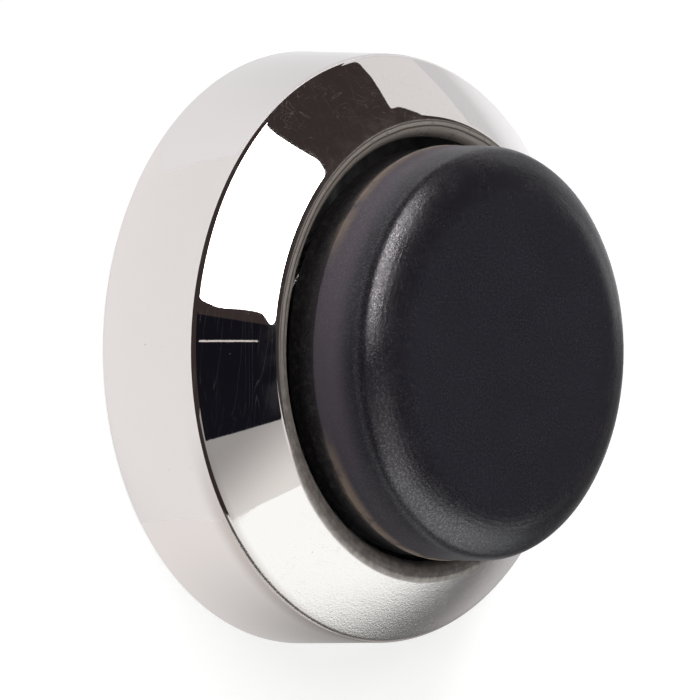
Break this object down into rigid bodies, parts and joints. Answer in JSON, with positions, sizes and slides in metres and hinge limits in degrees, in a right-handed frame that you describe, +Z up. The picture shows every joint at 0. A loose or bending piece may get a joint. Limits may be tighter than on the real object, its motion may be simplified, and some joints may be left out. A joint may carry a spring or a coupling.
{
  "type": "floor door holder",
  "caption": "Round floor door holder: polished steel cover, sprung black rubber head with a magnet inside, screwed to the floor through a hidden base plate.",
  "frame": {"origin": "centre of the footprint, on the floor", "axes": "+Z up along the axis of the round body, from the floor to the rubber face"},
  "size_m": [0.06, 0.06, 0.027],
  "materials": {
    "polished_steel": "mirror-polished stainless sheet, fine hairlines",
    "buffer_rubber": "matt black moulded rubber, fine grain",
    "seal_rubber": "smooth black seal rubber",
    "gasket_foam": "cut cellular rubber sheet",
    "zinc_casting": "die-cast zinc, tumbled",
    "sintered_bronze": "oiled sintered bronze",
    "plated_steel": "zinc-plated steel, blue passivated",
    "ground_steel": "ground bright steel",
    "spring_steel": "oiled spring steel",
    "blackened_steel": "black oxide",
    "ferrite": "pressed ferrite, ground face",
    "natural_nylon": "natural nylon"
  },
  "bodies": {
    "base": {"base_gasket": "gasket_foam", "base_plate": "zinc_casting", "cover_o_ring": "seal_rubber", "guide_bush": "sintered_bronze", "stop_ring": "seal_rubber", "spring_seat": "plated_steel"},
    "cover": {"cover": "polished_steel"},
    "plunger": {"guide_stem": "ground_steel", "stem_washer": "plated_steel", "retaining_clip": "spring_steel", "head_carrier": "plated_steel", "slip_washer": "natural_nylon", "swivel_screw": "blackened_steel", "return_spring": "spring_steel"},
    "head": {"magnet_cup": "plated_steel", "pole_core": "plated_steel", "ring_magnet": "ferrite", "magnet_sleeve": "natural_nylon", "bearing_washer": "natural_nylon", "rubber_buffer": "buffer_rubber"}
  },
  "joints": [
    {"name": "cover_lift", "type": "slide", "parent": "base", "child": "cover", "axis": [0, 0, 1], "range_m": [0, 0.03]},
    {"name": "head_press", "type": "slide", "parent": "base", "child": "plunger", "axis": [0, 0, -1], "range_m": [0, 0.003], "stiffness_N_per_m": 600, "springref_m": -0.004, "deforming": ["return_spring"]},
    {"name": "head_turn", "type": "hinge", "parent": "plunger", "child": "head", "pos_m": [0, 0, 0.0164], "axis": [0, 0, 1], "continuous": true}
  ]
}
